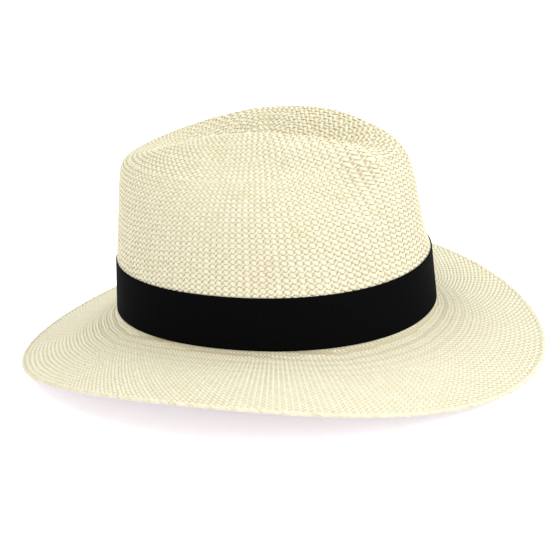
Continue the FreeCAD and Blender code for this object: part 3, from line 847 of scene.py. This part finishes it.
def folded_bow(name, node, bow, waist, pleats, rib, material):
    """A ribbon folded into two flat loops and gathered at its waist.

    bow gives the middle's place along the band and up it, the offset of the surface that the bow lies on,
    the side that it faces (1 outward, -1 inward), half its length, its width, the height of the puffed
    loops and the thickness of the ribbon. waist is the gathered share of the width, pleats how often the
    gather folds, and rib is 1 for ribbed ribbon and 0 for smooth.
    """
    middle, middle_height, base, side, reach, width, puff, thickness = bow
    fold = (puff - thickness) / 2.0
    straight = reach - fold
    samples = 90
    leg = np.linspace(0.0, straight, samples)
    turn = np.linspace(-math.pi / 2.0, math.pi / 2.0, 14)[1:-1]
    s = np.concatenate((leg, straight + fold * np.cos(turn), leg[::-1]))
    far = np.concatenate((np.zeros(samples), 0.5 + 0.5 * np.sin(turn), np.ones(samples)))
    s = np.concatenate((s, -s[::-1][1:]))
    far = np.concatenate((far, far[::-1][1:]))
    out = np.abs(s) / reach    # 0 at the waist, 1 at the folds
    spread = ease((out - 0.2) / 0.6)
    puffed = 0.55 + 0.45 * np.sin(math.pi * np.clip(out, 0.0, 1.0) ** 0.8) ** 0.7
    closed_end = ease((out - 0.9) / 0.1)
    lift = fold * 2.0 * far * (puffed * (1.0 - closed_end) + closed_end) + thickness / 2.0
    arc = travelled(np.stack((s, lift), axis=-1))
    k = np.linspace(-1.0, 1.0, 37)
    half = width / 2.0 * (waist + (1.0 - waist) * spread)
    height = middle_height + half[:, None] * k[None, :]
    gather = 0.16 * fold * (1.0 - spread)[:, None] * (np.cos(pleats * math.pi * k)[None, :] - 1.0)
    flat_arc, flat_height = np.meshgrid(arc, (k + 1.0) * width / 2.0, indexing="ij")
    offset = base + side * (lift[:, None] + gather * far[:, None])
    points = by_band(middle + side * np.broadcast_to(s[:, None], height.shape), height, offset)
    normal = facing(points)
    points = points + normal * (thickness / 2.0 + rib * rib_wave(flat_arc, flat_height, width))[..., None]
    piece = flat_strip(name, points, normal, thickness, flat_arc, flat_height, material)
    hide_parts(node)
    return piece, (width, float(arc[-1]))


def bow_keeper(bow, waist, length):
    """The short ribbon that wraps the waist of the bow, from one side of the band's face to the other."""
    middle, middle_height, base, side, _, width, puff, thickness = bow
    half = width / 2.0 * waist + thickness + 0.3 * MM
    deep = (puff + 0.35 * MM) / 2.0
    angle = np.radians(np.linspace(-104.0, 104.0, 241))
    power = 2.0 / 5.0          # rounds the corners of the wrap's section
    lift = deep * np.sign(np.cos(angle)) * np.abs(np.cos(angle)) ** power + deep
    height = half * np.sign(np.sin(angle)) * np.abs(np.sin(angle)) ** power
    section = np.stack((lift, height, 0.0 * lift), axis=-1)
    path = resampled(section, np.linspace(0.0, travelled(section)[-1], 121))
    arc = travelled(path)
    k = np.linspace(1.0, -1.0, 17)
    narrow = 1.0 - 0.10 * np.cos(math.pi * (arc / arc[-1] - 0.5)) ** 2
    s = length / 2.0 * narrow[:, None] * k[None, :]
    crease = 0.10 * MM * (np.cos(3.0 * math.pi * k) - 1.0)[None, :] * np.ones((len(arc), 1))
    lift = np.broadcast_to(path[:, :1], s.shape) + crease
    height = np.broadcast_to(path[:, 1:2], s.shape)
    points = by_band(middle + side * s, middle_height + height, base + side * (lift + thickness))
    normal = facing(points)
    flat_arc, across = np.meshgrid(arc, (1.0 - k) * length / 2.0, indexing="ij")
    points = points + normal * rib_wave(flat_arc, across, length)[..., None]
    piece = flat_strip(
        "keeper", points, normal, thickness, flat_arc, across, grosgrain_material)
    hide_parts("bow_keeper")


def hat_bow():
    """The flat bow over the band's seam, with the keeper round its waist."""
    low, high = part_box("bow_loops")
    reach = (high[1] - low[1]) / 2.0
    waist = 0.66
    bow = Bow(
        middle=0.0, height=BAND_WIDTH / 2.0, base=0.65 * MM, side=1.0,
        reach=reach, width=33.0 * MM, puff=2.3 * MM, thickness=RIBBON)
    piece, flat = folded_bow("bow", "bow_loops", bow, waist, 4.0, 1.0, grosgrain_material)
    bow_keeper(bow, waist, 13.0 * MM)


def leather_relief(arc, height, width):
    """The leather's soft unevenness and its rounded edges."""
    slow = np.sin(arc / (17.0 * MM)) * np.sin(arc / (41.0 * MM) + height / (11.0 * MM))
    edge = np.minimum(height, width - height)
    return -0.05 * MM * (1.0 + slow) - 0.25 * MM * np.exp(-edge / (0.6 * MM))


def sweatband():
    """The leather band inside the crown, seamed at the back."""
    azimuths = whole_turn("sweatband_leather", BACK, 700, INSIDE)[::-1]
    piece, flat = laid_strip(
        "sweatband", "sweatband_leather", azimuths, INSIDE, 33, LEATHER,
        leather_material, leather_relief)


def label():
    """The blank size label on the sweatband."""
    azimuths = azimuths_of("size_label", 60, INSIDE)[::-1]
    piece, flat = laid_strip(
        "label", "size_label", azimuths, INSIDE, 25, LABEL,
        label_material, lambda arc, height, width: 0.0 * arc)


def reed_tape():
    """The tape folded round the reed, from its lip on the leather to its flap on the straw."""
    reed = 1.17 * MM           # depth of the reed's middle behind the straw's inner face
    rise = 0.80 * MM           # and its height over the break line
    radius = 1.12 * MM         # outside of the tape where it goes round the reed
    lip = 4.6 * MM             # how high the tape reaches behind the leather
    flap = 9.0 * MM            # and how high against the straw
    flap_depth = 0.05 * MM     # from the flap to the straw
    angle = np.linspace(0.0, -math.pi, 13)
    depth = np.concatenate((
        np.full(8, reed + radius), reed + radius * np.cos(angle), np.full(14, flap_depth)))
    height = np.concatenate((
        np.linspace(lip, rise, 9)[:-1], rise + radius * np.sin(angle), np.linspace(rise, flap, 15)[1:]))
    s = np.linspace(0.0, AROUND, 801)
    places, depths = np.meshgrid(s, depth, indexing="ij")
    heights = np.broadcast_to(height, places.shape) - BAND_FOOT
    points = by_band(places, heights, -BAND_FACE - STRAW - depths)
    normal = facing(points)
    arc = travelled(np.stack((depth, height), axis=-1))
    along, across = np.meshgrid(s, arc, indexing="ij")
    piece = flat_strip(
        "reed_tape", points, normal, TAPE, along, across, tape_material)
    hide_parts("sweatband_reed_tape")


def back_bow():
    """The small bow sewn inside at the back seam."""
    low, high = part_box("sweatband_bow")
    middle = np.interp(BACK, BAND_AZIMUTHS, BAND_ARC[:-1])
    height = (low[2] + high[2]) / 2.0 - by_band(np.array(middle), np.array(0.0), np.array(0.0))[2]
    leather_face = 2.0 * MM    # depth of the sweatband's face behind the straw's inner face
    base = -BAND_FACE - STRAW - leather_face
    reach = (high[0] - low[0]) / 2.0
    bow = Bow(
        middle=middle, height=height, base=base, side=-1.0,
        reach=reach, width=6.0 * MM, puff=1.1 * MM, thickness=0.2 * MM)
    folded_bow("back_bow", "sweatband_bow", bow, 0.62, 2.0, 0.0, satin_material)


hatband()
bow_tail()
hat_bow()
sweatband()
label()
reed_tape()
back_bow()
# The threads and the reed keep their CAD shapes.
for threads, material in (
        ("bow_tack_stitches", dark_thread_material), ("sweatband_hat_stitches", thread_material),
        ("sweatband_edge_stitches", thread_material), ("sweatband_seam_stitches", thread_material),
        ("sweatband_reed", reed_material)):
    frame["nodes"][threads].material_slots[0].material = material


# ---------------------------------------------------------------- room, light and camera
def make_stage():
    """A white floor, lit a little from within."""
    bpy.ops.mesh.primitive_plane_add(size=8.0, location=(0.0, 0.0, 0.0))
    floor = bpy.context.object
    floor.name = "floor"
    material, _, shader = principled("floor", (0.93, 0.93, 0.94), 0.9)
    shader.inputs["Specular IOR Level"].default_value = 0.0
    shader.inputs["Emission Color"].default_value = (0.90, 0.845, 1.0, 1.0)
    shader.inputs["Emission Strength"].default_value = 0.48
    floor.data.materials.append(material)


def area_light(name, place, size, power, colour=(1.0, 1.0, 1.0)):
    """A square light that faces the hat."""
    light = bpy.data.lights.new(name, "AREA")
    light.size = size
    light.energy = power
    light.color = colour
    lamp = bpy.data.objects.new(name, light)
    bpy.context.scene.collection.objects.link(lamp)
    lamp.location = place
    aim = Vector((0.0, 0.0, BREAK_Z)) - Vector(place)
    lamp.rotation_euler = aim.to_track_quat("-Z", "Y").to_euler()


def make_lights():
    """A bright white room, a large key light in front and one light above."""
    world = bpy.data.worlds.new("world")
    bpy.context.scene.world = world
    world.use_nodes = True
    background = world.node_tree.nodes["Background"]
    background.inputs["Color"].default_value = (1.0, 1.0, 1.0, 1.0)
    background.inputs["Strength"].default_value = 1.0
    area_light("key", (0.1, -1.8, 1.15), 1.9, 36.0, (0.97, 0.98, 1.0))
    area_light("top", (-0.5, 0.35, 2.0), 1.5, 29.0)
    bpy.context.scene.view_settings.view_transform = "Standard"


def make_camera():
    """The viewpoint: towards the wearer's right side, a little from the front and from above."""
    azimuth = math.radians(-65.017)
    elevation = math.radians(21.345)
    roll = math.radians(-5.288)
    distance = 1.085
    level = math.cos(elevation)
    back = Vector((math.sin(azimuth) * level, -math.cos(azimuth) * level, math.sin(elevation)))
    right = (-back).cross(Vector((0.0, 0.0, 1.0))).normalized()
    up = right.cross(-back)
    tilted_right = math.cos(roll) * right + math.sin(roll) * up
    tilted_up = -math.sin(roll) * right + math.cos(roll) * up
    data = bpy.data.cameras.new("camera")
    data.sensor_width = 36.0
    data.lens = 108.86
    data.shift_x = 0.0084
    data.shift_y = 0.0313
    camera = bpy.data.objects.new("camera", data)
    bpy.context.scene.collection.objects.link(camera)
    matrix = Matrix((tilted_right, tilted_up, back)).transposed().to_4x4()
    matrix.translation = Vector((0.0, 0.0, BREAK_Z)) + back * distance
    camera.matrix_world = matrix
    bpy.context.scene.camera = camera


make_stage()
make_lights()
make_camera()
